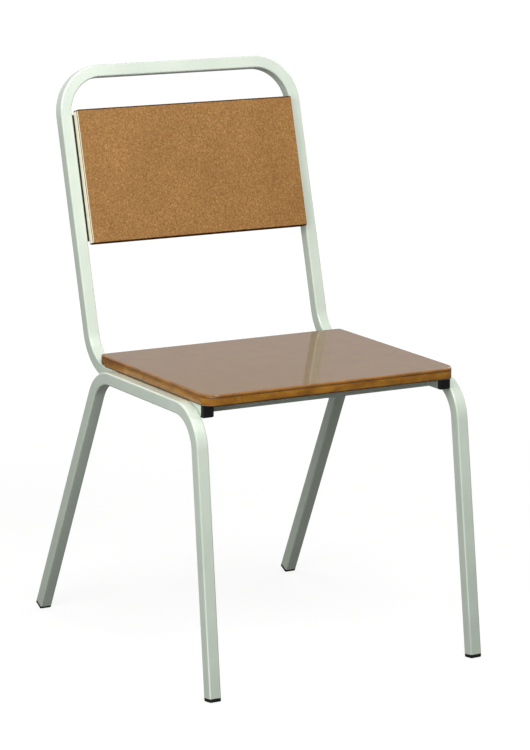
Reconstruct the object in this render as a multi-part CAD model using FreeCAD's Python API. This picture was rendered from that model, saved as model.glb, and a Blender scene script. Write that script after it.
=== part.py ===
import FreeCAD, Part
import math
import os

Vector = FreeCAD.Vector
Rotation = FreeCAD.Rotation
Placement = FreeCAD.Placement
ACROSS = Vector(1, 0, 0)
BACKWARD = Vector(0, 1, 0)
UPWARD = Vector(0, 0, 1)

# Driving sizes in millimetres and degrees. The chair faces -Y, left is -X.
# Square steel tube, the same for every tube of the frame, with rounded corners drawn as a few flats
tube_size = 19.0
tube_wall = 1.2
tube_corner = 2.4
corner_flats = 3

# Seat board and backrest board: one face sheet glued on one core
core_thickness = 12.0
face_thickness = 5.0
glue_groove = 0.5
seat_height = 441.0
seat_width = 426.0
seat_depth = 335.0
seat_front_corner = 22.0
seat_rear_corner = 7.0
seat_top_round = 2.5
seat_bottom_bevel = 1.2
seat_relief_gap = 0.4

# Back hoop: seat rails, uprights and top rail bent from one tube
seat_side_overhang = 1.0
rail_end_setback = 21.0
upright_setback = 35.0
upright_lean = 15.5
upright_length = 451.0
hoop_rear_bend = 68.0
hoop_top_bend = 66.0

# Cross rails between the seat rails
front_cross_setback = 25.0
rear_cross_setback = 40.0

# Leg frames: front leg, side rail and rear leg bent from one tube
front_corner_setback = 12.0
rear_corner_inset = 22.5
front_leg_lean = 7.4
rear_leg_lean = 25.6
front_leg_bend = 60.0
rear_leg_bend = 60.0
leg_splay = 0.5

# Backrest and the flat strips that carry it
backrest_side_gap = 4.0
backrest_height = 207.0
backrest_proud = 12.5
backrest_corner = 2.5
backrest_front_round = 2.0
backrest_rear_bevel = 1.0
hand_gap = 50.0
strip_width = 35.0
strip_thickness = 5.0
strip_end_gap = 6.0

# Plastic inserts in the tube ends
insert_head = 5.5
insert_bevel = 2.0
insert_stem = 16.0
insert_stem_wall = 2.0
insert_fit = 0.15
rib_height = 1.2
rib_depth = 0.9
rib_pitch = 4.5
rib_count = 3
foot_flat = 0.8

# Screws
screw_size = 4.0
screw_head_size = 8.0
screw_head_height = 2.6
screw_sides = 12
screw_bite = 9.0
screw_hole_fit = 0.3
screw_thread_fit = 0.1
screw_access_size = 10.0
seat_screw_inset = 63.0
strip_screw_inset = 24.0
strip_screw_end_inset = 27.5

# Weld beads
groove_bead_drop = 0.5
groove_bead_length = 30.0
groove_bead_count = 3
corner_bead = 3.0
strip_bead_length = 22.0
strip_bead_count = 3

# Sizes that follow
half_tube = tube_size / 2
board_thickness = core_thickness + face_thickness
rail_top = seat_height - board_thickness
rail_bottom = rail_top - tube_size
rail_axis_z = rail_top - half_tube
hoop_width = seat_width - 2 * seat_side_overhang
hoop_x = hoop_width / 2 - half_tube
hoop_inner_x = hoop_x - half_tube
seat_screw_x = hoop_inner_x - seat_screw_inset
leg_x = hoop_width / 2 + half_tube
bore_size = tube_size - 2 * tube_wall
groove_depth = tube_corner * (2 - math.sqrt(2))
upright_corner_y = seat_depth + upright_setback
hoop_straight_end = upright_corner_y - hoop_rear_bend * math.tan(math.radians(90 - upright_lean) / 2)
front_cross_y = rail_end_setback + front_cross_setback + half_tube
rear_cross_y = hoop_straight_end - rear_cross_setback - half_tube
rear_corner_y = seat_depth - rear_corner_inset
side_rail_start = front_corner_setback + front_leg_bend * math.tan(math.radians(90 - front_leg_lean) / 2)
side_rail_end = rear_corner_y - rear_leg_bend * math.tan(math.radians(90 - rear_leg_lean) / 2)
upright_origin = Vector(0, upright_corner_y, rail_axis_z)
upright_turn = Rotation(ACROSS, -upright_lean)


# Rounded rectangle about the origin, corner radii counted from +X +Y round to +X -Y
def rounded_rectangle(width, depth, radii):
    signs = ((1, 1), (-1, 1), (-1, -1), (1, -1))
    arcs = []
    for quarter, (sign, radius) in enumerate(zip(signs, radii)):
        centre = Vector(sign[0] * (width / 2 - radius), sign[1] * (depth / 2 - radius), 0)
        turns = [math.radians(90 * quarter + step) for step in (0, 45, 90)]
        arcs.append([centre + Vector(math.cos(a), math.sin(a), 0) * radius for a in turns])
    edges = []
    for arc, following in zip(arcs, arcs[1:] + arcs[:1]):
        edges.append(Part.Arc(*arc).toShape())
        edges.append(Part.makeLine(arc[2], following[0]))
    return Part.Wire(edges)


# Square about the origin, with corners drawn as flats, or sharp where the corner radius is zero
def square_outline(size, corner):
    points = []
    for quarter, sign in enumerate(((1, 1), (-1, 1), (-1, -1), (1, -1))):
        centre = Vector(*sign, 0) * (size / 2 - corner)
        for step in range(corner_flats + 1 if corner else 1):
            angle = math.radians(90 * (quarter + step / corner_flats))
            points.append(centre + Vector(math.cos(angle), math.sin(angle), 0) * corner)
    return Part.makePolygon(points + points[:1])


def square_bar(size, corner, height):
    return Part.Face(square_outline(size, corner)).extrude(UPWARD * height)


# Hollow tube along straight runs joined by bends, one radius for each inner point
def bent_tube(points, radii):
    outside = square_outline(tube_size, tube_corner)
    inside = square_outline(bore_size, 0)
    section = Part.Face(outside).cut(Part.Face(inside)).Faces[0]
    here = points[0]
    ahead = (points[1] - here).normalize()
    side = BACKWARD if abs(ahead.x) > 0.5 else ACROSS
    section.Placement = Placement(here, Rotation(side, ahead.cross(side), ahead, "ZXY"))
    pieces = []
    for corner, following, radius in zip(points[1:], points[2:], radii):
        turned = (following - corner).normalize()
        angle = ahead.getAngle(turned)
        reach = radius * math.tan(angle / 2)
        run = corner - ahead * reach - here
        pieces.append(section.extrude(run))
        section.translate(run)
        axis = ahead.cross(turned).normalize()
        centre = here + run + axis.cross(ahead) * radius
        pieces.append(section.revolve(centre, axis, math.degrees(angle)))
        section.rotate(centre, axis, math.degrees(angle))
        here = corner + turned * reach
        ahead = turned
    pieces.append(section.extrude(points[-1] - here))
    return pieces[0].fuse(pieces[1:]).removeSplitter() if radii else pieces[0]


# Edges of a shape that lie in the plane at one height
def edges_at(shape, height):
    near = 1e-6
    return [edge for edge in shape.Edges if all(abs(end.Z - height) < near for end in edge.Vertexes)]


# Board of core and face sheet, lying flat on its core, with a groove along the glue line
def laminated_board(width, depth, radii, top_round, bottom_bevel):
    outline = Part.Face(rounded_rectangle(width, depth, radii))
    core = outline.extrude(UPWARD * core_thickness)
    core = core.makeChamfer(bottom_bevel, edges_at(core, 0))
    core = core.makeChamfer(glue_groove, edges_at(core, core_thickness))
    face = outline.extrude(UPWARD * face_thickness)
    face = face.makeFillet(top_round, edges_at(face, face_thickness))
    face = face.makeChamfer(glue_groove, edges_at(face, 0))
    face.translate(UPWARD * core_thickness)
    return core, face


# Plastic insert standing on its head, with the tube's end plane at height zero
def tube_insert():
    head = square_bar(tube_size, tube_corner, insert_head)
    head.translate(UPWARD * -insert_head)
    head = head.makeChamfer(insert_bevel, edges_at(head, -insert_head))
    rib_size = bore_size - 2 * insert_fit
    stem_size = rib_size - 2 * rib_depth
    hollow_size = stem_size - 2 * insert_stem_wall
    hollow = square_bar(hollow_size, 0, insert_stem)
    stem = square_bar(stem_size, 0, insert_stem)
    ribs = []
    for number in range(rib_count):
        rib = square_bar(rib_size, 0, rib_height)
        rib.translate(UPWARD * (rib_pitch * (number + 0.5)))
        ribs.append(rib)
    return head.fuse([stem] + ribs).cut(hollow).removeSplitter()


# Bar with many flat sides in place of a round one
def many_sided_bar(size, height):
    turns = [2 * math.pi * number / screw_sides for number in range(screw_sides + 1)]
    points = [Vector(math.cos(turn), math.sin(turn), 0) * (size / 2) for turn in turns]
    return Part.Face(Part.makePolygon(points)).extrude(UPWARD * height)


# Screw pointing up, with the underside of its head at height zero
def screw(length):
    return many_sided_bar(screw_head_size, -screw_head_height).fuse(many_sided_bar(screw_size, length))


# Three-sided weld bead that lies in an inner corner along the run
def three_sided_bead(corner, sides, run):
    points = [corner, corner + sides[0], corner + sides[1], corner]
    return Part.Face(Part.makePolygon(points)).extrude(run)


def drill(shape, size, length, places):
    holes = []
    for place in places:
        hole = Part.makeCylinder(size / 2, length)
        hole.Placement = place
        holes.append(hole)
    return shape.cut(holes)


def copies(shape, places):
    solids = []
    for place in places:
        solid = shape.copy()
        solid.Placement = place
        solids.append(solid)
    return Part.makeCompound(solids)


# Lower end of a leg tube. The low edge of its cap's end face reaches below the floor by the foot's flat
def leg_end(corner_y, lean, way):
    tilt = math.radians(lean)
    head_z = (half_tube - insert_bevel) * math.sin(tilt) - foot_flat
    end_z = head_z + insert_head * math.cos(tilt)
    return Vector(leg_x, corner_y + way * (rail_axis_z - end_z) * math.tan(tilt), end_z)


# Evenly spaced places from first to last
def spread(first, last, count):
    return [first + (last - first) * number / (count - 1) for number in range(count)]


parts = {}

# Back hoop
hoop_ends = [Vector(side * hoop_x, rail_end_setback, rail_axis_z) for side in (-1, 1)]
hoop_rear = [Vector(side * hoop_x, upright_corner_y, rail_axis_z) for side in (-1, 1)]
upright_rise = upright_turn.multVec(UPWARD * upright_length)
hoop_path = [
    hoop_ends[0],
    hoop_rear[0],
    hoop_rear[0] + upright_rise,
    hoop_rear[1] + upright_rise,
    hoop_rear[1],
    hoop_ends[1],
]
hoop = bent_tube(hoop_path, [hoop_rear_bend, hoop_top_bend, hoop_top_bend, hoop_rear_bend])
parts["back_hoop"] = hoop

# Leg frames, splayed about the top inner edge of their side rail, and their foot caps
insert = tube_insert()
front_end = leg_end(front_corner_setback, front_leg_lean, -1)
rear_end = leg_end(rear_corner_y, rear_leg_lean, 1)
leg_path = [
    front_end,
    Vector(leg_x, front_corner_setback, rail_axis_z),
    Vector(leg_x, rear_corner_y, rail_axis_z),
    rear_end,
]
for side, name in ((-1, "left"), (1, "right")):
    path = [Vector(side * point.x, point.y, point.z) for point in leg_path]
    pivot = Vector(side * hoop_width / 2, 0, rail_top)
    leg = bent_tube(path, [front_leg_bend, rear_leg_bend])
    leg.rotate(pivot, BACKWARD, -side * leg_splay)
    parts["leg_frame_" + name] = leg
    for end, lean, place in ((path[0], -front_leg_lean, "front"), (path[3], rear_leg_lean, "rear")):
        cap = insert.copy()
        cap.Placement = Placement(end, Rotation(ACROSS, lean))
        cap.rotate(pivot, BACKWARD, -side * leg_splay)
        box = cap.BoundBox
        low = Vector(box.XMin, box.YMin, -insert_head)
        below = Part.makeBox(box.XLength, box.YLength, insert_head, low)
        parts["foot_cap_" + place + "_" + name] = cap.cut(below)

# Plugs in the front ends of the seat rails
for end, name in zip(hoop_ends, ("left", "right")):
    plug = insert.copy()
    plug.Placement = Placement(end, Rotation(ACROSS, -90))
    parts["rail_plug_" + name] = plug

# Seat board
seat_radii = [seat_rear_corner, seat_rear_corner, seat_front_corner, seat_front_corner]
seat_core, seat_face = laminated_board(seat_width, seat_depth, seat_radii, seat_top_round, seat_bottom_bevel)
for board in (seat_core, seat_face):
    board.translate(Vector(0, seat_depth / 2, rail_top))

# Rebates under the rear corners of the seat, where the rails start to rise
overrun = max(seat_depth - hoop_straight_end, 0)
bend_inside = hoop_rear_bend - half_tube
relief_depth = bend_inside - math.sqrt(bend_inside ** 2 - overrun ** 2) + seat_relief_gap
relief_x = hoop_inner_x - seat_relief_gap
for side in (-1, 1):
    low = Vector(relief_x if side > 0 else -seat_width / 2, seat_depth - overrun, rail_top)
    seat_core = seat_core.cut(Part.makeBox(seat_width / 2 - relief_x, overrun, relief_depth, low))

# Cross rails, their welds and the seat screws, whose heads sit inside the rails above access holes
seat_screw_places = []
for cross_y, name in ((front_cross_y, "front"), (rear_cross_y, "rear")):
    ends = [Vector(side * hoop_inner_x, cross_y, rail_axis_z) for side in (-1, 1)]
    head_places = []
    access_places = []
    for side in (-1, 1):
        head_places.append(Placement(Vector(side * seat_screw_x, cross_y, rail_top - tube_wall), Rotation()))
        access_places.append(Placement(Vector(side * seat_screw_x, cross_y, rail_bottom), Rotation()))
    rail = drill(bent_tube(ends, []), screw_size + 2 * screw_hole_fit, tube_wall, head_places)
    parts[name + "_cross_rail"] = drill(rail, screw_access_size, tube_wall, access_places)
    seat_screw_places += head_places
    beads = []
    for side in (-1, 1):
        for way in (-1, 1):
            foot = Vector(side * hoop_inner_x, cross_y + way * half_tube, rail_bottom + tube_corner)
            run = UPWARD * (tube_size - 2 * tube_corner)
            sides = (ACROSS * (-side * corner_bead), BACKWARD * (way * corner_bead))
            beads.append(three_sided_bead(foot, sides, run))
    parts[name + "_cross_rail_welds"] = Part.makeCompound(beads)
seat_screw_length = tube_wall + screw_bite
thread_size = screw_size + 2 * screw_thread_fit
parts["seat_core"] = drill(seat_core, thread_size, seat_screw_length + screw_thread_fit, seat_screw_places)
parts["seat_face"] = seat_face
parts["seat_screws"] = copies(screw(seat_screw_length), seat_screw_places)

# Weld beads in the groove under each pair of side rail and seat rail
for side, name in ((-1, "left"), (1, "right")):
    beads = []
    for bead_y in spread(side_rail_start, side_rail_end - groove_bead_length, groove_bead_count):
        apex = Vector(side * hoop_width / 2, bead_y, rail_bottom + groove_depth)
        bead_height = groove_depth + groove_bead_drop
        slopes = [Vector(way * bead_height, 0, -bead_height) for way in (-1, 1)]
        beads.append(three_sided_bead(apex, slopes, BACKWARD * groove_bead_length))
    parts["rail_welds_" + name] = Part.makeCompound(beads)

# Backrest, its strips, screws and welds, built upright and then leaned back with the uprights
backrest_width = 2 * (hoop_inner_x - backrest_side_gap)
backrest_top = upright_length - half_tube - hand_gap
backrest_middle = backrest_top - backrest_height / 2
backrest_back_y = -half_tube + board_thickness - backrest_proud
core, face = laminated_board(
    backrest_width, backrest_height, [backrest_corner] * 4, backrest_front_round, backrest_rear_bevel
)
stand_up = Placement(Vector(0, backrest_back_y, backrest_middle), Rotation(ACROSS, 90))
strip_height = backrest_height - 2 * strip_end_gap
strip_back_y = backrest_back_y + strip_thickness
screw_x = hoop_inner_x - strip_screw_inset
screw_rise = strip_height / 2 - strip_screw_end_inset
screw_places = []
for side in (-1, 1):
    for way in (-1, 1):
        place_z = backrest_middle + way * screw_rise
        screw_places.append(Placement(Vector(side * screw_x, strip_back_y, place_z), Rotation(ACROSS, 90)))
strip_screw_length = strip_thickness + screw_bite
for board in (core, face):
    board.Placement = stand_up.multiply(board.Placement)
back = {
    "backrest_core": drill(core, thread_size, strip_screw_length + screw_thread_fit, screw_places),
    "backrest_face": face,
    "backrest_screws": copies(screw(strip_screw_length), screw_places),
}
beads = []
for side, name in ((-1, "left"), (1, "right")):
    inner = side * hoop_inner_x
    low = Vector(min(inner, inner - side * strip_width), backrest_back_y, backrest_middle - strip_height / 2)
    strip = Part.makeBox(strip_width, strip_thickness, strip_height, low)
    hole_size = screw_size + 2 * screw_hole_fit
    back["back_strip_" + name] = drill(strip, hole_size, strip_thickness, screw_places)
    for bead_z in spread(low.z, low.z + strip_height - strip_bead_length, strip_bead_count):
        corner = Vector(inner, strip_back_y, bead_z)
        sides = (ACROSS * (-side * corner_bead), BACKWARD * corner_bead)
        beads.append(three_sided_bead(corner, sides, UPWARD * strip_bead_length))
back["back_strip_welds"] = Part.makeCompound(beads)
for name, shape in back.items():
    shape.Placement = Placement(upright_origin, upright_turn).multiply(shape.Placement)
    parts[name] = shape

# Origin on the floor, half way between the front and the rear of the feet
feet = Part.makeCompound([shape for name, shape in parts.items() if name.startswith("foot_cap")])
middle = BACKWARD * -feet.optimalBoundingBox().Center.y

os.makedirs("parts", exist_ok=True)
for name, shape in parts.items():
    shape.translate(middle)
    shape.exportStep(os.path.join("parts", name + ".step"))
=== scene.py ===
import math

import bmesh
import bpy
from bmesh.types import BMEdge, BMFace, BMVert
from mathutils import Matrix, Vector


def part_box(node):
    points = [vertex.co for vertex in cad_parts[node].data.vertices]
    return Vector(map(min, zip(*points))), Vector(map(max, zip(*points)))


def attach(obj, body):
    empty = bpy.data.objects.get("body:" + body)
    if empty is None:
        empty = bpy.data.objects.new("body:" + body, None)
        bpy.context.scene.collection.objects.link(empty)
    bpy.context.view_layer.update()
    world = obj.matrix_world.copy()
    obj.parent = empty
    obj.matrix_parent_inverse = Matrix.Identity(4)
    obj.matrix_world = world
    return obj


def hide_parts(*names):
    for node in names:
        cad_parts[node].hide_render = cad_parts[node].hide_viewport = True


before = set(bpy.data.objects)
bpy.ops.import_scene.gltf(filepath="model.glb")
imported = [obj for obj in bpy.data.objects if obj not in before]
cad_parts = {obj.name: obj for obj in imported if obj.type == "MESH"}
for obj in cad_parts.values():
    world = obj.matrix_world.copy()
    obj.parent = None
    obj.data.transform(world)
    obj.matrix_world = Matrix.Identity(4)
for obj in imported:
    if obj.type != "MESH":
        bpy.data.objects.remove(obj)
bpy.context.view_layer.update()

# Back hoop: seat rails, uprights and top rail of the frame.
# One length of square steel tube, bent at four places on a bender.
# The rounded tube corners and the even bends are its whole character.
mm = 0.001
tube_size = 19 * mm
tube_corner = 2.4 * mm
corner_steps = 6
bend_step_degrees = 2.5
round_profile = 0.5
half_tube = tube_size / 2
rail_to_upright = 349 * mm
upright_lean = math.radians(15.5)
upright_length = 451 * mm
hoop_rear_bend = 68 * mm
hoop_top_bend = 66 * mm
hoop_low, hoop_high = (Vector(corner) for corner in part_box("back_hoop"))
hoop_x = hoop_high.x - half_tube
rail_axis_z = hoop_low.z + half_tube
rail_end_y = hoop_low.y


def only(kind, items):
    """The vertices, edges or faces among the items that a mesh step gives back."""
    return [item for item in items if isinstance(item, kind)]


def tube_section():
    """Flat square face as large as the tube, with its rounded corners."""
    shape = bmesh.new()
    bmesh.ops.create_grid(shape, x_segments=1, y_segments=1, size=half_tube)
    bmesh.ops.bevel(shape, geom=shape.verts[:], offset=tube_corner, offset_type="OFFSET",
                    segments=corner_steps, profile=round_profile, affect="VERTICES", material=-1)
    return shape


def bent_tube(path, radii):
    """Square tube skin along straight runs joined by bends, one radius for each inner point."""
    shape = tube_section()
    here = path[0]
    ahead = (path[1] - here).normalized()
    side = Vector((1, 0, 0))
    turn = Matrix((side, ahead.cross(side), ahead)).transposed().to_4x4()
    bmesh.ops.transform(shape, matrix=Matrix.Translation(here) @ turn, verts=shape.verts[:])
    ring = shape.edges[:]
    sawn_edges = ring[:]
    for corner, following, radius in zip(path[1:], path[2:], radii):
        turned = (following - corner).normalized()
        angle = ahead.angle(turned)
        reach = radius * math.tan(angle / 2)
        start = corner - ahead * reach
        swept = bmesh.ops.extrude_edge_only(shape, edges=ring)["geom"]
        moved = only(BMVert, swept)
        bmesh.ops.translate(shape, vec=start - here, verts=moved)
        axis = ahead.cross(turned).normalized()
        steps = math.ceil(math.degrees(angle) / bend_step_degrees)
        swept = bmesh.ops.spin(shape, geom=moved + only(BMEdge, swept),
                               cent=start + axis.cross(ahead) * radius, axis=axis, angle=angle,
                               steps=steps, use_merge=False, use_duplicate=False)["geom_last"]
        ring = only(BMEdge, swept)
        here = corner + turned * reach
        ahead = turned
    swept = bmesh.ops.extrude_edge_only(shape, edges=ring)["geom"]
    bmesh.ops.translate(shape, vec=path[-1] - here, verts=only(BMVert, swept))
    ring = only(BMEdge, swept)
    bmesh.ops.contextual_create(shape, geom=ring)
    for edge in sawn_edges + ring:
        edge.smooth = False
    return shape


def piece(name, shape, materials, nodes):
    """Turns a finished shape into an object that stands for its nodes on the one body of the chair."""
    bmesh.ops.recalc_face_normals(shape, faces=shape.faces[:])
    for face in shape.faces:
        face.smooth = True
    mesh = bpy.data.meshes.new(name)
    shape.to_mesh(mesh)
    shape.free()
    for material in materials:
        mesh.materials.append(material)
    made = bpy.data.objects.new(name, mesh)
    bpy.context.scene.collection.objects.link(made)
    shading = made.modifiers.new("even shading", "WEIGHTED_NORMAL")
    shading.weight = 100
    shading.keep_sharp = True
    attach(made, "root")
    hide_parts(*nodes)


def colour(code):
    """Linear colour from an sRGB hex code."""
    values = [int(code[place:place + 2], 16) / 255 for place in (1, 3, 5)]
    return [v / 12.92 if v <= 0.04045 else ((v + 0.055) / 1.055) ** 2.4 for v in values] + [1]


def add(tree, kind, inputs=None, **settings):
    """Adds a node; settings are its properties, inputs are values or other nodes' sockets."""
    made = tree.nodes.new(kind)
    for name, value in settings.items():
        setattr(made, name, value)
    for name, value in (inputs or {}).items():
        if isinstance(value, bpy.types.NodeSocket):
            tree.links.new(value, made.inputs[name])
        else:
            made.inputs[name].default_value = value
    return made


def empty_material(name):
    """New material without nodes, and its node tree."""
    made = bpy.data.materials.new(name)
    made.use_nodes = True
    made.node_tree.nodes.clear()
    return made, made.node_tree


def ramp(tree, factor, stops):
    """Colour that follows a factor through stops, each a place from 0 to 1 and a hex code."""
    made = add(tree, "ShaderNodeValToRGB", {"Fac": factor})
    while len(made.color_ramp.elements) < len(stops):
        made.color_ramp.elements.new(0.5)
    for element, (place, code) in zip(made.color_ramp.elements, stops):
        element.position = place
        element.color = colour(code)
    return made.outputs["Color"]


# Stove enamel, pale mint grey, sprayed on the welded frame and baked.
# It gives a soft gloss, a faint orange peel and slightly uneven cover.
enamel_light = "#CCD5C9"
enamel_deep = "#C5CFC3"
peel_size = 2.5 * mm
cloud_size = 70 * mm
stove_enamel, tree = empty_material("mint_stove_enamel")
place = add(tree, "ShaderNodeTexCoord").outputs["Object"]
cloud = add(tree, "ShaderNodeTexNoise", {"Vector": place, "Scale": 1 / cloud_size, "Detail": 3.0})
peel = add(tree, "ShaderNodeTexNoise", {"Vector": place, "Scale": 1 / peel_size, "Detail": 1.0})
bump = add(tree, "ShaderNodeBump", {
    "Height": peel.outputs["Fac"], "Strength": 0.012, "Distance": 0.4 * mm})
gloss = add(tree, "ShaderNodeMapRange", {
    "Value": cloud.outputs["Fac"], "To Min": 0.2, "To Max": 0.28})
shader = add(tree, "ShaderNodeBsdfPrincipled", {
    "Base Color": ramp(tree, cloud.outputs["Fac"], ((0.35, enamel_deep), (0.65, enamel_light))),
    "Roughness": gloss.outputs["Result"], "Normal": bump.outputs["Normal"], "IOR": 1.5,
    "Coat Weight": 1.0, "Coat Roughness": 0.1, "Coat IOR": 1.5})
add(tree, "ShaderNodeOutputMaterial", {"Surface": shader.outputs["BSDF"]})

hoop_path = []
upright_rise = Vector((0, math.sin(upright_lean), math.cos(upright_lean))) * upright_length
for side in (-1, 1):
    rail_end = Vector((side * hoop_x, rail_end_y, rail_axis_z))
    rear_corner = rail_end + Vector((0, rail_to_upright, 0))
    half_path = [rail_end, rear_corner, rear_corner + upright_rise]
    hoop_path += half_path if side < 0 else half_path[::-1]
hoop_bends = [hoop_rear_bend, hoop_top_bend, hoop_top_bend, hoop_rear_bend]
piece("back_hoop_tube", bent_tube(hoop_path, hoop_bends), [stove_enamel], ["back_hoop"])

# Leg frames: front leg, side rail and rear leg of each side.
# Each is one bent length of the same tube, welded along the outside of a seat rail.
# They splay outwards a little towards the floor.
front_corner_ahead = 9 * mm
rear_corner_behind = 291.5 * mm
leg_bend = 60 * mm
leg_splay = math.radians(0.5)
leg_leans = {"front": math.radians(7.4), "rear": math.radians(25.6)}
leg_ends = {"front": 5.62 * mm, "rear": 7.401 * mm}
leg_corners = {"front": rail_end_y - front_corner_ahead, "rear": rail_end_y + rear_corner_behind}
leg_x = hoop_high.x + half_tube
rail_top = rail_axis_z + half_tube


def leg_place(side, end):
    """Middle of a leg tube's lower end before the splay."""
    forward = -1 if end == "front" else 1
    drop = rail_axis_z - leg_ends[end]
    y = leg_corners[end] + forward * drop * math.tan(leg_leans[end])
    return Vector((side * leg_x, y, leg_ends[end]))


def splayed(side):
    """Turn that splays a leg frame about the top inner edge of its side rail."""
    pivot = Matrix.Translation((side * hoop_high.x, 0, rail_top))
    return pivot @ Matrix.Rotation(-side * leg_splay, 4, "Y") @ pivot.inverted()


sides = ((-1, "left"), (1, "right"))
for side, word in sides:
    leg_path = [leg_place(side, "front")]
    leg_path += [Vector((side * leg_x, leg_corners[end], rail_axis_z)) for end in ("front", "rear")]
    leg_path += [leg_place(side, "rear")]
    shape = bent_tube(leg_path, [leg_bend, leg_bend])
    bmesh.ops.transform(shape, matrix=splayed(side), verts=shape.verts[:])
    piece("leg_frame_tube_" + word, shape, [stove_enamel], ["leg_frame_" + word])

# Cross rails: two straight lengths of the tube between the seat rails.
# They are sawn square, drilled for the seat screws from below and welded in.
for word in ("front", "rear"):
    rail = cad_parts[word + "_cross_rail"].data
    rail.materials.clear()
    rail.materials.append(stove_enamel)

# Weld beads: short runs of weld metal in the inner corners of the frame, under the same enamel.
# A bead is a row of overlapping ripples that thins out at both ends.
# The radii at its ends, ridges and dips and its stand-off from the corner are shares of its size.
bead_size = 3 * mm
bead_sides = 10
bead_end, bead_ridge, bead_dip = 0.35, 0.5, 0.44
bead_stand_off = 0.3
ripple_pitch = 2.2 * mm
fewest_rings = 4


def weld_bead(shape, start, end, size):
    """One rippled bead from start to end, as thick as size."""
    count = max(fewest_rings, round((end - start).length / ripple_pitch) * 2)
    turn = (end - start).to_track_quat("Z", "Y").to_matrix().to_4x4()
    ring = bmesh.ops.create_circle(shape, cap_ends=True, segments=bead_sides, radius=size * bead_end,
                                   matrix=Matrix.Translation(start) @ turn)["verts"]
    ring = list({edge for vert in ring for edge in vert.link_edges})
    step = (end - start) / count
    thickness = bead_end
    for number in range(1, count + 1):
        wanted = bead_end if number == count else (bead_ridge if number % 2 else bead_dip)
        swept = bmesh.ops.extrude_edge_only(shape, edges=ring)["geom"]
        verts = only(BMVert, swept)
        ring = only(BMEdge, swept)
        middle = Matrix.Translation(start + step * (number - 1))
        bmesh.ops.scale(shape, vec=Vector.Fill(3, wanted / thickness), space=middle.inverted(),
                        verts=verts)
        bmesh.ops.translate(shape, vec=step, verts=verts)
        thickness = wanted
    bmesh.ops.contextual_create(shape, geom=ring)


for word in ("front", "rear"):
    low, high = (Vector(corner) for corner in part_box(word + "_cross_rail"))
    shape = bmesh.new()
    for end_x, edge_y in ((x, y) for x in (low.x, high.x) for y in (low.y, high.y)):
        out = Vector((-math.copysign(1, end_x), 1 if edge_y == high.y else -1, 0))
        corner = Vector((end_x, edge_y, 0)) + out * bead_size * bead_stand_off
        weld_bead(shape, corner + Vector((0, 0, low.z + tube_corner)),
                  corner + Vector((0, 0, high.z - tube_corner)), bead_size)
    piece(word + "_cross_beads", shape, [stove_enamel], [word + "_cross_rail_welds"])

groove_bead_length = 30 * mm
groove_bead_count = 3
for side, word in sides:
    low, high = (Vector(corner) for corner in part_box("rail_welds_" + word))
    shape = bmesh.new()
    for number in range(groove_bead_count):
        y = low.y + (high.y - low.y - groove_bead_length) * number / (groove_bead_count - 1)
        start = Vector(((low.x + high.x) / 2, y, high.z))
        weld_bead(shape, start, start + Vector((0, groove_bead_length, 0)), bead_size)
    piece("rail_beads_" + word, shape, [stove_enamel], ["rail_welds_" + word])

# Back strips: flat steel bars welded to the inner faces of the uprights to carry the backrest.
# They are cut from stock flat bar and drilled, and show only as a black line beside the backrest; their
# near-black colour is painted shade for the deep crevice there.

# Painted shade: a nearly black, dull and slightly uneven coat that stands in for the deep shade in the
# crevice beside the backrest.
crevice_shade_paint, tree = empty_material("near_black_painted_crevice_shade")
place = add(tree, "ShaderNodeTexCoord").outputs["Object"]
crevice_mottle_size = 4 * mm
crevice_mottle = add(tree, "ShaderNodeTexNoise", {"Vector": place, "Scale": 1 / crevice_mottle_size, "Detail": 3.0})
gloss = add(tree, "ShaderNodeMapRange", {
    "Value": crevice_mottle.outputs["Fac"], "To Min": 0.45, "To Max": 0.6})
shader = add(tree, "ShaderNodeBsdfPrincipled", {
    "Base Color": ramp(tree, crevice_mottle.outputs["Fac"], ((0.35, "#0C0C0B"), (0.7, "#171715"))),
    "Roughness": gloss.outputs["Result"], "IOR": 1.5})
add(tree, "ShaderNodeOutputMaterial", {"Surface": shader.outputs["BSDF"]})
# The strips take the near-black painted crevice shade.
for _, word in sides:
    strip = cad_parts["back_strip_" + word].data
    strip.materials.clear()
    strip.materials.append(crevice_shade_paint)

upright_foot = Vector((0, rail_end_y + rail_to_upright, rail_axis_z))
leaned = Matrix.Translation(upright_foot) @ Matrix.Rotation(-upright_lean, 4, "X")
strip_back = 0.0
strip_bead_length = 22 * mm
strip_foot, strip_head = 190.5 * mm, 385.5 * mm
strip_bead_count = 3
strip_bead_run = strip_head - strip_foot - strip_bead_length
strip_bead_x = hoop_x - half_tube - bead_size * bead_stand_off
strip_bead_y = strip_back + bead_size * bead_stand_off
# The strip welds take the same near-black painted crevice shade.
shape = bmesh.new()
for side, _ in sides:
    for number in range(strip_bead_count):
        rise = strip_foot + strip_bead_run * number / (strip_bead_count - 1)
        corner = Vector((side * strip_bead_x, strip_bead_y, rise))
        bead_top = corner + Vector((0, 0, strip_bead_length))
        weld_bead(shape, leaned @ corner, leaned @ bead_top, bead_size)
piece("strip_beads", shape, [crevice_shade_paint], ["back_strip_welds"])

# Foot caps and rail plugs: ribbed inserts pushed into the open tube ends.
# Moulded in black polyethylene, with a bevelled head that covers the tube wall.
insert_head = 5.5 * mm
insert_bevel = 2 * mm
insert_bevel_steps = 4
stem_length = 16 * mm
rib_size = 16.3 * mm
stem_size = 14.5 * mm
stem_wall = 2 * mm
rib_height = 1.2 * mm
rib_pitch = 4.5 * mm
rib_count = 3
floor_z = 0.0
tolerance = 0.001 * mm

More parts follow.
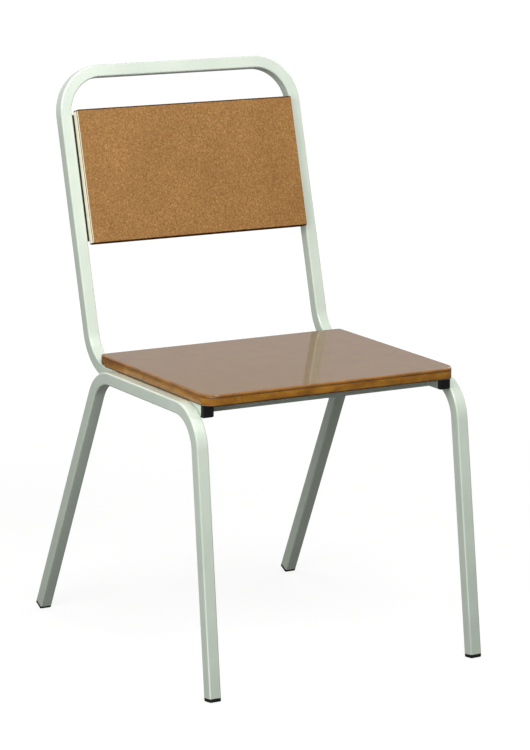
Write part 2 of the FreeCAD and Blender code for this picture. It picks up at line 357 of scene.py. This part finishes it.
# Black polyethylene from a lightly etched mould: deep black with a broad dull sheen and rubbed spots.
black_plastic, tree = empty_material("black_moulded_polyethylene")
place = add(tree, "ShaderNodeTexCoord").outputs["Object"]
etch_size = 1.2 * mm
rub_size = 6 * mm
etch = add(tree, "ShaderNodeTexNoise", {"Vector": place, "Scale": 1 / etch_size, "Detail": 2.0})
rub = add(tree, "ShaderNodeTexNoise", {"Vector": place, "Scale": 1 / rub_size, "Detail": 3.0})
bump = add(tree, "ShaderNodeBump", {
    "Height": etch.outputs["Fac"], "Strength": 0.12, "Distance": 0.2 * mm})
gloss = add(tree, "ShaderNodeMapRange", {
    "Value": rub.outputs["Fac"], "To Min": 0.38, "To Max": 0.55})
shader = add(tree, "ShaderNodeBsdfPrincipled", {
    "Base Color": ramp(tree, rub.outputs["Fac"], ((0.4, "#0B0B0A"), (0.75, "#141413"))),
    "Roughness": gloss.outputs["Result"], "Normal": bump.outputs["Normal"], "IOR": 1.51,
    "Specular IOR Level": 0.25})
add(tree, "ShaderNodeOutputMaterial", {"Surface": shader.outputs["BSDF"]})


def draw_out(shape, faces, height):
    """Draws faces up or down along Z, keeps the faces they came from, and gives the new ones."""
    swept = bmesh.ops.extrude_face_region(shape, geom=faces, use_keep_orig=True)["geom"]
    bmesh.ops.translate(shape, vec=(0, 0, height), verts=only(BMVert, swept))
    return only(BMFace, swept)


def lift(shape, faces, height, size_ratio):
    """Draws faces out along Z by a height, first scaled in their own plane, and gives the new faces."""
    swept = bmesh.ops.extrude_face_region(shape, geom=faces)["geom"]
    bmesh.ops.scale(shape, vec=(size_ratio, size_ratio, 1), verts=only(BMVert, swept))
    bmesh.ops.translate(shape, vec=(0, 0, height), verts=only(BMVert, swept))
    return only(BMFace, swept)


def tube_insert():
    """Insert standing on its head, with the tube's end plane at height zero."""
    shape = tube_section()
    bmesh.ops.translate(shape, vec=(0, 0, -insert_head), verts=shape.verts[:])
    rim = shape.edges[:]
    top = draw_out(shape, shape.faces[:], insert_head)
    bmesh.ops.bevel(shape, geom=rim, offset=insert_bevel, offset_type="OFFSET",
                    segments=insert_bevel_steps, profile=round_profile, affect="EDGES", material=-1)
    at = 0.0
    width = tube_size
    for number in range(rib_count):
        rib_foot = rib_pitch * (number + 0.5)
        for wanted, height in ((stem_size, 0), (stem_size, rib_foot - at),
                               (rib_size, 0), (rib_size, rib_height)):
            top = lift(shape, top, height, wanted / width)
            width = wanted
        at = rib_foot + rib_height
    for wanted, height in ((stem_size, 0), (stem_size, stem_length - at),
                           (stem_size - 2 * stem_wall, 0), (stem_size - 2 * stem_wall, -stem_length)):
        top = lift(shape, top, height, wanted / width)
        width = wanted
    return shape


for side, word in sides:
    for end in ("front", "rear"):
        shape = tube_insert()
        lean = -leg_leans[end] if end == "front" else leg_leans[end]
        stand = splayed(side) @ Matrix.Translation(leg_place(side, end)) @ Matrix.Rotation(lean, 4, "X")
        bmesh.ops.transform(shape, matrix=stand, verts=shape.verts[:])
        cut = bmesh.ops.bisect_plane(shape, geom=shape.verts[:] + shape.edges[:] + shape.faces[:],
                                     dist=tolerance, plane_co=(0, 0, floor_z), plane_no=(0, 0, 1),
                                     clear_inner=True)["geom_cut"]
        bmesh.ops.contextual_create(shape, geom=only(BMEdge, cut))
        piece("_".join(("foot_insert", end, word)), shape, [black_plastic],
              ["_".join(("foot_cap", end, word))])
    shape = tube_insert()
    stand = Matrix.Translation((side * hoop_x, rail_end_y, rail_axis_z))
    stand = stand @ Matrix.Rotation(math.radians(-90), 4, "X")
    bmesh.ops.transform(shape, matrix=stand, verts=shape.verts[:])
    piece("rail_insert_" + word, shape, [black_plastic], ["rail_plug_" + word])

# Seat board: a thin hardboard face pressed on a thicker core, screwed down on the cross rails.
# Sawn to shape, rounded along the top edge and brushed with a thick clear varnish.
# A fine groove is left along the glue line.
core_thickness = 12 * mm
face_thickness = 5 * mm
glue_groove = 0.5 * mm
seat_front_corner = 22 * mm
seat_rear_corner = 7 * mm
seat_top_round = 2.5 * mm
relief_depth = 2.4 * mm
relief_gap = 0.4 * mm
board_corner_steps = 10
groove_steps = 1
round_steps = 5
edge_number, glue_number, rim_shade_number = 1, 2, 3
seat_edge_limit = 0.95
upright_limit = 0.5

# Varnished hardboard: brown pressed wood fibre under a hard clear coat.
# The coat mirrors the surroundings sharply, and the fibre shows through as a faint mottle.
seat_varnish, tree = empty_material("varnished_hardboard")
place = add(tree, "ShaderNodeTexCoord").outputs["Object"]
fibre_size = 2.4 * mm
patch_size = 28 * mm
seat_tones = (0.36, "#6E4D1D"), (0.5, "#735120"), (0.66, "#785524")
fibre = add(tree, "ShaderNodeTexNoise", {
    "Vector": place, "Scale": 1 / fibre_size, "Detail": 4.0, "Roughness": 0.6})
patch = add(tree, "ShaderNodeTexNoise", {
    "Vector": place, "Scale": 1 / patch_size, "Detail": 4.0, "Distortion": 0.6})
mixed = add(tree, "ShaderNodeMath", {0: fibre.outputs["Fac"], 1: patch.outputs["Fac"]}, operation="ADD")
half = add(tree, "ShaderNodeMath", {0: mixed.outputs["Value"], 1: 0.5}, operation="MULTIPLY")
wave = add(tree, "ShaderNodeBump", {
    "Height": patch.outputs["Fac"], "Strength": 0.008, "Distance": 0.2 * mm})
shader = add(tree, "ShaderNodeBsdfPrincipled", {
    "Base Color": ramp(tree, half.outputs["Value"], seat_tones), "Roughness": 0.4,
    "Specular IOR Level": 0.05, "Coat Weight": 0.65, "Coat Roughness": 0.03, "Coat IOR": 1.5,
    "Coat Normal": wave.outputs["Normal"]})
add(tree, "ShaderNodeOutputMaterial", {"Surface": shader.outputs["BSDF"]})

# Varnished sawn edges of the two sheets: the face dark brown, the core golden.
# The fibre drank the varnish in blotches, and the saw left short dark marks across the edge.
edge_varnish = {}
blotch_size = 30 * mm
mark_size = 2.5 * mm
for sheet, tones in (("face", ("#6F430D", "#875513", "#9C661B")),
                     ("core", ("#77480C", "#915F13", "#A8731F"))):
    edge_varnish[sheet], tree = empty_material("varnished_" + sheet + "_edge")
    place = add(tree, "ShaderNodeTexCoord").outputs["Object"]
    flat = add(tree, "ShaderNodeMapping", {"Vector": place, "Scale": (1, 1, 3)})
    tall = add(tree, "ShaderNodeMapping", {"Vector": place, "Scale": (1, 1, 0.12)})
    blotch = add(tree, "ShaderNodeTexNoise", {
        "Vector": flat.outputs["Vector"], "Scale": 1 / blotch_size, "Detail": 4.0, "Roughness": 0.6})
    mark = add(tree, "ShaderNodeTexNoise", {
        "Vector": tall.outputs["Vector"], "Scale": 1 / mark_size, "Detail": 2.0})
    varnish = ramp(tree, blotch.outputs["Fac"], tuple(zip((0.3, 0.5, 0.7), tones)))
    dark = ramp(tree, mark.outputs["Fac"], ((0.24, "#8A8A8A"), (0.34, "#FFFFFF")))
    marked = add(tree, "ShaderNodeMix", {"Factor": 1.0, "A": varnish, "B": dark}, data_type="RGBA",
                 blend_type="MULTIPLY")
    bump = add(tree, "ShaderNodeBump", {
        "Height": mark.outputs["Fac"], "Strength": 0.1, "Distance": 0.3 * mm})
    shader = add(tree, "ShaderNodeBsdfPrincipled", {
        "Base Color": marked.outputs["Result"], "Roughness": 0.5, "Specular IOR Level": 0.1,
        "Coat Weight": 0.9, "Coat Roughness": 0.06, "Coat IOR": 1.5, "Normal": bump.outputs["Normal"]})
    add(tree, "ShaderNodeOutputMaterial", {"Surface": shader.outputs["BSDF"]})

# Glue line: dried brown glue and varnish in the groove, darker than both sheets.
glue_line, tree = empty_material("brown_glue_line")
place = add(tree, "ShaderNodeTexCoord").outputs["Object"]
mottle_size = 5 * mm
mottle = add(tree, "ShaderNodeTexNoise", {"Vector": place, "Scale": 1 / mottle_size, "Detail": 2.0})
shader = add(tree, "ShaderNodeBsdfPrincipled", {
    "Base Color": ramp(tree, mottle.outputs["Fac"], ((0.35, "#55310D"), (0.65, "#6F4417"))),
    "Roughness": 0.45, "IOR": 1.5})
add(tree, "ShaderNodeOutputMaterial", {"Surface": shader.outputs["BSDF"]})


def board_outline(low, high, height, front_corner, rear_corner):
    """Flat face with rounded corners; the front ones may differ from the rear ones."""
    shape = bmesh.new()
    bmesh.ops.create_grid(shape, x_segments=1, y_segments=1, size=0.5)
    bmesh.ops.scale(shape, vec=(high.x - low.x, high.y - low.y, 1), verts=shape.verts[:])
    middle = (low + high) / 2
    bmesh.ops.translate(shape, vec=(middle.x, middle.y, height), verts=shape.verts[:])
    rear = [vert for vert in shape.verts if vert.co.y > middle.y]
    front = [vert for vert in shape.verts if vert.co.y < middle.y]
    for verts, radius in ((front, front_corner), (rear, rear_corner)):
        bmesh.ops.bevel(shape, geom=verts, offset=radius, offset_type="OFFSET",
                        segments=board_corner_steps, profile=round_profile, affect="VERTICES",
                        material=-1)
    return shape


def rim_edges(shape, height):
    """Outer edges of a flat sheet that lie at one height."""
    return [edge for edge in shape.edges
            if all(abs(vert.co.z - height) < tolerance for vert in edge.verts)
            and any(abs(face.normal.z) < upright_limit for face in edge.link_faces)]


def soften(shape, height, size, steps):
    """Rounds or bevels the rim at one height and gives the new faces."""
    shape.normal_update()
    return bmesh.ops.bevel(shape, geom=rim_edges(shape, height), offset=size, offset_type="OFFSET",
                           segments=steps, profile=round_profile, affect="EDGES",
                           material=-1)["faces"]


def paint_edges(shape, groove_faces, edge_limit):
    """Gives the groove its glue, and the faces less level than a limit the look of sawn edges."""
    shape.normal_update()
    for face in shape.faces:
        if abs(face.normal.z) < edge_limit:
            face.material_index = edge_number
    for face in groove_faces:
        if face.is_valid:
            face.material_index = glue_number


low, high = (Vector(corner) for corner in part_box("seat_face"))
joint_z = rail_top + core_thickness
shape = board_outline(low, high, joint_z, seat_front_corner, seat_rear_corner)
draw_out(shape, shape.faces[:], face_thickness)
bmesh.ops.recalc_face_normals(shape, faces=shape.faces[:])
groove = soften(shape, joint_z, glue_groove, groove_steps)
soften(shape, joint_z + face_thickness, seat_top_round, round_steps)
paint_edges(shape, groove, seat_edge_limit)
piece("seat_face_sheet", shape, [seat_varnish, edge_varnish["face"], glue_line],
      ["seat_face"])

# Seat core: the thick lower sheet, sawn to the same outline as the face.
# Shallow rebates at its rear corners make room where the rails start to rise.
relief_z = rail_top + relief_depth
relief_x = hoop_x - half_tube - relief_gap
relief_y = rail_end_y + rail_to_upright - hoop_rear_bend * math.tan((math.pi / 2 - upright_lean) / 2)
shape = board_outline(low, high, relief_z, seat_front_corner, seat_rear_corner)
for cut_at, across in (((relief_x, 0, 0), (1, 0, 0)), ((-relief_x, 0, 0), (1, 0, 0)),
                       ((0, relief_y, 0), (0, 1, 0))):
    bmesh.ops.bisect_plane(shape, geom=shape.verts[:] + shape.edges[:] + shape.faces[:],
                           dist=tolerance, plane_co=cut_at, plane_no=across)
sheet = shape.faces[:]
middles = [face.calc_center_median() for face in sheet]
lower = [face for face, middle in zip(sheet, middles)
         if not (abs(middle.x) > relief_x and middle.y > relief_y)]
draw_out(shape, sheet, core_thickness - relief_depth)
swept = bmesh.ops.extrude_face_region(shape, geom=lower)["geom"]
bmesh.ops.translate(shape, vec=(0, 0, -relief_depth), verts=only(BMVert, swept))
bmesh.ops.recalc_face_normals(shape, faces=shape.faces[:])
groove = soften(shape, joint_z, glue_groove, groove_steps)
paint_edges(shape, groove, seat_edge_limit)
piece("seat_core_sheet", shape, [seat_varnish, edge_varnish["core"], glue_line],
      ["seat_core"])

# Backrest board: the same two sheets in a smaller size, screwed to the strips from behind.
# It stands a little proud of the uprights, is only oiled, and keeps pale sawn edges, brightened with
# painted highlight.
backrest_size = Vector((378 * mm, 207 * mm, 0))
backrest_corner = 2.5 * mm
backrest_front_round = 2 * mm
backrest_rear_bevel = 1 * mm
backrest_bevel_steps = 2
backrest_groove = 0.9 * mm
backrest_middle = 288 * mm
backrest_back = -5 * mm
backrest_edge_limit = 0.3
long_edge_limit = 0.15
rear_bevel_low, rear_bevel_high = -0.9, -0.3

# Oiled hardboard: pressed wood fibre in a warm brown, with short pale fibres and dark specks.
# The face is dull with a weak sheen where the press plate left it smooth.
oiled_hardboard, tree = empty_material("oiled_hardboard")
place = add(tree, "ShaderNodeTexCoord").outputs["Object"]
speck_size = 2.6 * mm
fleck_spacing = 6 * mm
fleck_share = 0.4
shade_size = 60 * mm
fibre_tones = (0.34, "#7D5324"), (0.5, "#936836"), (0.66, "#AA804C")
pale_fibre = "#CB9C5E"
speck = add(tree, "ShaderNodeTexNoise", {
    "Vector": place, "Scale": 1 / speck_size, "Detail": 3.0, "Roughness": 0.7})
scatter = add(tree, "ShaderNodeTexVoronoi", {"Vector": place, "Scale": 1 / fleck_spacing})
cloud = add(tree, "ShaderNodeTexNoise", {"Vector": place, "Scale": 1 / shade_size, "Detail": 3.0})
ground = ramp(tree, speck.outputs["Fac"], fibre_tones)
chance = add(tree, "ShaderNodeSeparateColor", {"Color": scatter.outputs["Color"]})
chosen = add(tree, "ShaderNodeMath", {0: chance.outputs["Red"], 1: fleck_share}, operation="LESS_THAN")
spot = ramp(tree, scatter.outputs["Distance"], ((0.06, "#B0B0B0"), (0.26, "#000000")))
flecks = add(tree, "ShaderNodeMath", {0: chosen.outputs["Value"], 1: spot}, operation="MULTIPLY")
flecked = add(tree, "ShaderNodeMix", {
    "Factor": flecks.outputs["Value"], "A": ground, "B": colour(pale_fibre)}, data_type="RGBA")
shade = ramp(tree, cloud.outputs["Fac"], ((0.3, "#F0F0F0"), (0.7, "#FFFFFF")))
toned = add(tree, "ShaderNodeMix", {"Factor": 1.0, "A": flecked.outputs["Result"], "B": shade},
            data_type="RGBA", blend_type="MULTIPLY")
bump = add(tree, "ShaderNodeBump", {
    "Height": speck.outputs["Fac"], "Strength": 0.12, "Distance": 0.25 * mm})
gloss = add(tree, "ShaderNodeMapRange", {
    "Value": speck.outputs["Fac"], "To Min": 0.5, "To Max": 0.66})
shader = add(tree, "ShaderNodeBsdfPrincipled", {
    "Base Color": toned.outputs["Result"], "Roughness": gloss.outputs["Result"],
    "Specular IOR Level": 0.25, "Normal": bump.outputs["Normal"]})
add(tree, "ShaderNodeOutputMaterial", {"Surface": shader.outputs["BSDF"]})

# Pale sawn edge: bare pressed fibre, cut and sanded, sealed with a little clear lacquer.
# Its near-white cream is partly a painted highlight, and it shows as two cream lines at the ends of the
# board.
pale_edge_and_highlight, tree = empty_material("pale_sawn_edge_painted_highlight")
place = add(tree, "ShaderNodeTexCoord").outputs["Object"]
saw_size = 1.8 * mm
saw = add(tree, "ShaderNodeTexNoise", {"Vector": place, "Scale": 1 / saw_size, "Detail": 3.0})
bump = add(tree, "ShaderNodeBump", {
    "Height": saw.outputs["Fac"], "Strength": 0.15, "Distance": 0.3 * mm})
shader = add(tree, "ShaderNodeBsdfPrincipled", {
    "Base Color": ramp(tree, saw.outputs["Fac"], ((0.35, "#FFF2D2"), (0.65, "#FFF9E8"))),
    "Roughness": 0.4, "IOR": 1.5, "Normal": bump.outputs["Normal"]})
add(tree, "ShaderNodeOutputMaterial", {"Surface": shader.outputs["BSDF"]})

# Painted shade: dark brown on the top, bottom and rear edges, where the board's edges lie in shade.
# It gives a thin dark rim around the board, quite dull.
dark_rim_shade, tree = empty_material("brown_painted_edge_shade")
place = add(tree, "ShaderNodeTexCoord").outputs["Object"]
run_size = 9 * mm
run = add(tree, "ShaderNodeTexNoise", {"Vector": place, "Scale": 1 / run_size, "Detail": 3.0})
shader = add(tree, "ShaderNodeBsdfPrincipled", {
    "Base Color": ramp(tree, run.outputs["Fac"], ((0.35, "#351B05"), (0.65, "#4E2C0C"))),
    "Roughness": 0.8, "Specular IOR Level": 0.1, "IOR": 1.5})
add(tree, "ShaderNodeOutputMaterial", {"Surface": shader.outputs["BSDF"]})

stand_up = leaned @ Matrix.Translation((0, backrest_back, backrest_middle))
stand_up = stand_up @ Matrix.Rotation(math.pi / 2, 4, "X")
for name, node, foot, thickness, slot in (
    ("backrest_core_sheet", "backrest_core", 0.0, core_thickness, "board_core"),
    ("backrest_face_sheet", "backrest_face", core_thickness, face_thickness, "backrest_board"),
):
    shape = board_outline(backrest_size / -2, backrest_size / 2, foot, backrest_corner, backrest_corner)
    draw_out(shape, shape.faces[:], thickness)
    bmesh.ops.recalc_face_normals(shape, faces=shape.faces[:])
    groove = soften(shape, core_thickness, backrest_groove, groove_steps)
    if foot:
        soften(shape, foot + thickness, backrest_front_round, round_steps)
    else:
        soften(shape, foot, backrest_rear_bevel, backrest_bevel_steps)
    # The end edges take the pale edge, whose near-white is partly a painted highlight.
    paint_edges(shape, groove, backrest_edge_limit)
    # Painted shade: the top and bottom edges and the core's rear bevel take the dark brown rim.
    for face in shape.faces:
        on_rear_bevel = not foot and rear_bevel_low < face.normal.z < rear_bevel_high
        if on_rear_bevel or abs(face.normal.y) > long_edge_limit:
            face.material_index = rim_shade_number
    bmesh.ops.transform(shape, matrix=stand_up, verts=shape.verts[:])
    piece(name, shape, [oiled_hardboard, pale_edge_and_highlight, glue_line, dark_rim_shade], [node])

# Screws: pan-head wood screws with a cross recess.
# Zinc-plated steel, driven through the cross rails and strips into the cores.
screw_size = 4 * mm
head_size = 8 * mm
head_height = 2.6 * mm
head_sides = 12
crown_radius = 0.46 * head_size
crown_rise, shoulder_rise, side_rise = 0.12, 0.35, 0.53
recess_reach = 0.3 * head_size
recess_width = 1.1 * mm
recess_depth = 1.3 * mm
screw_bite = 9 * mm
strip_thickness = 5 * mm

# Zinc-plated steel: cold-headed wire with a thin bath plating, bright and slightly cloudy.
zinc, tree = empty_material("zinc_plated_steel")
place = add(tree, "ShaderNodeTexCoord").outputs["Object"]
plating_size = 1.5 * mm
plating = add(tree, "ShaderNodeTexNoise", {"Vector": place, "Scale": 1 / plating_size, "Detail": 3.0})
gloss = add(tree, "ShaderNodeMapRange", {
    "Value": plating.outputs["Fac"], "To Min": 0.25, "To Max": 0.42})
shader = add(tree, "ShaderNodeBsdfPrincipled", {
    "Base Color": ramp(tree, plating.outputs["Fac"], ((0.35, "#A9ABAA"), (0.65, "#C4C6C4"))),
    "Metallic": 1.0, "Roughness": gloss.outputs["Result"]})
add(tree, "ShaderNodeOutputMaterial", {"Surface": shader.outputs["BSDF"]})


def pan_head_screw(shape, stand, length):
    """One screw pointing up from the underside of its head, set in place by a matrix."""
    made = bmesh.new()
    bmesh.ops.create_grid(made, x_segments=3, y_segments=3, size=recess_reach)
    outer = [edge for edge in made.edges if edge.is_boundary]
    for vert in made.verts:
        for axis in (0, 1):
            if abs(vert.co[axis]) < recess_reach / 2:
                vert.co[axis] = math.copysign(recess_width / 2, vert.co[axis])
    recess = [face for face in made.faces if min(abs(face.calc_center_median().x),
                                                 abs(face.calc_center_median().y)) < recess_width / 2]
    swept = bmesh.ops.extrude_face_region(made, geom=recess)["geom"]
    bmesh.ops.translate(made, vec=(0, 0, recess_depth), verts=only(BMVert, swept))
    ring = bmesh.ops.create_circle(made, cap_ends=False, segments=head_sides,
                                   radius=crown_radius)["verts"]
    ring_edges = list({edge for vert in ring for edge in vert.link_edges})
    bmesh.ops.translate(made, vec=(0, 0, head_height * crown_rise), verts=ring)
    bmesh.ops.bridge_loops(made, edges=outer + ring_edges)
    for width, height in ((head_size / 2 / crown_radius, head_height * shoulder_rise),
                          (1, head_height * side_rise), (screw_size / head_size, 0), (1, length)):
        swept = bmesh.ops.extrude_edge_only(made, edges=ring_edges)["geom"]
        ring_edges = only(BMEdge, swept)
        bmesh.ops.scale(made, vec=(width, width, 1), verts=only(BMVert, swept))
        bmesh.ops.translate(made, vec=(0, 0, height), verts=only(BMVert, swept))
    bmesh.ops.contextual_create(made, geom=ring_edges)
    bmesh.ops.translate(made, vec=(0, 0, -head_height), verts=made.verts[:])
    bmesh.ops.transform(made, matrix=stand, verts=made.verts[:])
    carrier = bpy.data.meshes.new("screw_blank")
    made.to_mesh(carrier)
    made.free()
    shape.from_mesh(carrier)
    bpy.data.meshes.remove(carrier)


seat_screw_x = 130 * mm
tube_wall = 1.2 * mm
shape = bmesh.new()
for word in ("front", "rear"):
    low, high = (Vector(corner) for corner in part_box(word + "_cross_rail"))
    for side, _ in sides:
        stand = Matrix.Translation((side * seat_screw_x, (low.y + high.y) / 2, rail_top - tube_wall))
        pan_head_screw(shape, stand, tube_wall + screw_bite)
piece("seat_wood_screws", shape, [zinc], ["seat_screws"])

strip_screw_inset = 24 * mm
strip_screw_x = hoop_x - half_tube - strip_screw_inset
strip_screw_rise = 70 * mm
shape = bmesh.new()
for side, _ in sides:
    for way in (-1, 1):
        rise = backrest_middle + way * strip_screw_rise
        stand = leaned @ Matrix.Translation((side * strip_screw_x, strip_back, rise))
        stand = stand @ Matrix.Rotation(math.pi / 2, 4, "X")
        pan_head_screw(shape, stand, strip_thickness + screw_bite)
piece("backrest_wood_screws", shape, [zinc], ["backrest_screws"])

# Studio: a wide white floor, a tent that only glossy surfaces mirror, and four softboxes.
# One hangs above the front, one above the rear, one stands at the left, a weak one at the right rear.
# The left and rear top ones aren't mirrored: a floor card gives the legs their bright edge lines.


def looked_at(tree):
    """1 for rays from the camera, a mirror or glass, and 0 for the soft light on the chair."""
    ray = add(tree, "ShaderNodeLightPath").outputs
    seen = add(tree, "ShaderNodeMath", {0: ray["Is Camera Ray"], 1: ray["Is Glossy Ray"]},
               operation="MAXIMUM")
    return add(tree, "ShaderNodeMath", {0: seen.outputs["Value"], 1: ray["Is Transmission Ray"]},
               operation="MAXIMUM").outputs["Value"]


# White paper floor, rolled out wide and evenly lit.
# It looks white to the camera, with a soft shade below the chair, and throws little light back.
floor_reach = 60.0
near_glow, far_glow = 0.84, 0.97
glow_start, glow_end = 0.6, 3.5
floor_shade = 0.18
floor_bounce = 0.08
white_floor, tree = empty_material("white_studio_floor")
place = add(tree, "ShaderNodeTexCoord").outputs["Object"]
reach = add(tree, "ShaderNodeVectorMath", {0: place}, operation="LENGTH")
even = add(tree, "ShaderNodeMapRange", {
    "Value": reach.outputs["Value"], "From Min": glow_start, "From Max": glow_end,
    "To Min": near_glow, "To Max": far_glow}, interpolation_type="SMOOTHSTEP")
glow = add(tree, "ShaderNodeEmission", {"Color": (1, 1, 1, 1), "Strength": even.outputs["Result"]})
shadow_side = add(tree, "ShaderNodeBsdfDiffuse", {"Color": [floor_shade] * 3 + [1]})
both = add(tree, "ShaderNodeAddShader", {0: glow.outputs["Emission"], 1: shadow_side.outputs["BSDF"]})
plain = add(tree, "ShaderNodeBsdfDiffuse", {"Color": [floor_bounce] * 3 + [1]})
choice = add(tree, "ShaderNodeMixShader", {
    0: looked_at(tree), 1: plain.outputs["BSDF"], 2: both.outputs["Shader"]})
add(tree, "ShaderNodeOutputMaterial", {"Surface": choice.outputs["Shader"]})
shape = bmesh.new()
bmesh.ops.create_grid(shape, x_segments=1, y_segments=1, size=floor_reach)
mesh = bpy.data.meshes.new("studio_floor")
shape.to_mesh(mesh)
shape.free()
mesh.materials.append(white_floor)
floor = bpy.data.objects.new("studio_floor", mesh)
bpy.context.scene.collection.objects.link(floor)

# Tent cloth and floor card: plain sheets that glow evenly and are seen only in glossy surfaces.
# The wall gives the varnish its pale sheen, the skirt a darker lower part, the card bright edges.
tent_reach = 6.0
tent_height = 3.2
tent_sides = 48
tent_floor_gap = 0.1 * mm
card_size = Vector((1.4, 1.1, 1))
card_place = Vector((-0.94, -0.83, 2 * tent_floor_gap))
for name, grey, strength in (("white_tent_wall", "#E2E2E4", 1.0),
                             ("grey_tent_skirt", "#7C7C7C", 1.0),
                             ("left_floor_card", "#FFFFFF", 2.5)):
    tent_cloth, tree = empty_material(name)
    glow = add(tree, "ShaderNodeEmission", {"Color": colour(grey), "Strength": strength})
    add(tree, "ShaderNodeOutputMaterial", {"Surface": glow.outputs["Emission"]})
    shape = bmesh.new()
    if name == "white_tent_wall":
        bmesh.ops.create_cone(shape, cap_ends=False, segments=tent_sides, radius1=tent_reach,
                              radius2=tent_reach, depth=tent_height,
                              matrix=Matrix.Translation((0, 0, tent_height / 2)))
    elif name == "grey_tent_skirt":
        bmesh.ops.create_circle(shape, cap_ends=True, segments=tent_sides, radius=tent_reach,
                                matrix=Matrix.Translation((0, 0, tent_floor_gap)))
    else:
        bmesh.ops.create_grid(shape, x_segments=1, y_segments=1, size=0.5,
                              matrix=Matrix.Translation(card_place) @ Matrix.Diagonal(card_size).to_4x4())
    mesh = bpy.data.meshes.new(name)
    shape.to_mesh(mesh)
    shape.free()
    mesh.materials.append(tent_cloth)
    tent = bpy.data.objects.new(name, mesh)
    bpy.context.scene.collection.objects.link(tent)
    tent.visible_camera = False
    tent.visible_diffuse = False
    tent.visible_shadow = False
    tent.visible_transmission = False

unmirrored = "left_strip_softbox", "rear_top_softbox"
for name, place, aim_at, size, energy in (
    ("top_softbox", (0, -1.1, 1.95), (0, 0, 0.7), (1.2, 1.0), 27.0),
    ("right_rear_softbox", (2.0, 0.9, 1.4), (0, 0, 0.5), (1.2, 2.0), 12.0),
    ("rear_top_softbox", (-0.6, 2.5, 2.0), (0, 0, 0.5), (1.6, 0.9), 17.0),
    ("left_strip_softbox", (-1.45, -0.85, 1.1), (0, 0, 0.5), (0.8, 1.6), 24.5),
):
    lamp = bpy.data.lights.new(name, "AREA")
    lamp.shape = "RECTANGLE"
    lamp.size, lamp.size_y = size
    lamp.energy = energy
    light = bpy.data.objects.new(name, lamp)
    light.visible_camera = False
    light.visible_glossy = name not in unmirrored
    light.location = place
    light.rotation_euler = (Vector(aim_at) - Vector(place)).to_track_quat("-Z", "Y").to_euler()
    bpy.context.scene.collection.objects.link(light)

# Air of the studio: a faint greenish light on all sides, white where it is looked at.
ambient = 0.28
world = bpy.data.worlds.new("white_studio")
bpy.context.scene.world = world
world.use_nodes = True
tree = world.node_tree
tree.nodes.clear()
dim = add(tree, "ShaderNodeBackground", {"Color": colour("#F6FFF0"), "Strength": ambient})
white = add(tree, "ShaderNodeBackground", {"Color": (1, 1, 1, 1), "Strength": 1.0})
choice = add(tree, "ShaderNodeMixShader", {
    0: looked_at(tree), 1: dim.outputs["Background"], 2: white.outputs["Background"]})
add(tree, "ShaderNodeOutputWorld", {"Surface": choice.outputs["Shader"]})
bpy.context.scene.view_settings.view_transform = "Standard"

# Camera: a long lens from the front left, a little above the seat, with a slight roll.
# Its values were fitted to the photograph together with the sizes of the chair.
image_height = 750
focal_pixels = 3159.727
azimuth = math.radians(-30.036)
elevation = math.radians(12.263)
distance = 4.810353
aim_right = math.tan(math.radians(0.179))
aim_up = math.tan(math.radians(0.072))
roll = math.radians(0.5)
target = Vector((0, 0, 0.4))
away = Vector((math.sin(azimuth) * math.cos(elevation), -math.cos(azimuth) * math.cos(elevation),
               math.sin(elevation)))
right = Vector((math.cos(azimuth), math.sin(azimuth), 0))
aim = (right * aim_right + right.cross(-away) * aim_up - away).normalized()
right = aim.cross(Vector((0, 0, 1))).normalized()
up = right.cross(aim)
right, up = (right * math.cos(roll) + up * math.sin(roll),
             up * math.cos(roll) - right * math.sin(roll))
lens = bpy.data.cameras.new("photo_camera")
lens.sensor_fit = "VERTICAL"
lens.lens = focal_pixels / image_height * lens.sensor_height
camera = bpy.data.objects.new("photo_camera", lens)
turn = Matrix((right, up, -aim)).transposed().to_4x4()
camera.matrix_world = Matrix.Translation(target + away * distance) @ turn
bpy.context.scene.collection.objects.link(camera)
bpy.context.scene.camera = camera
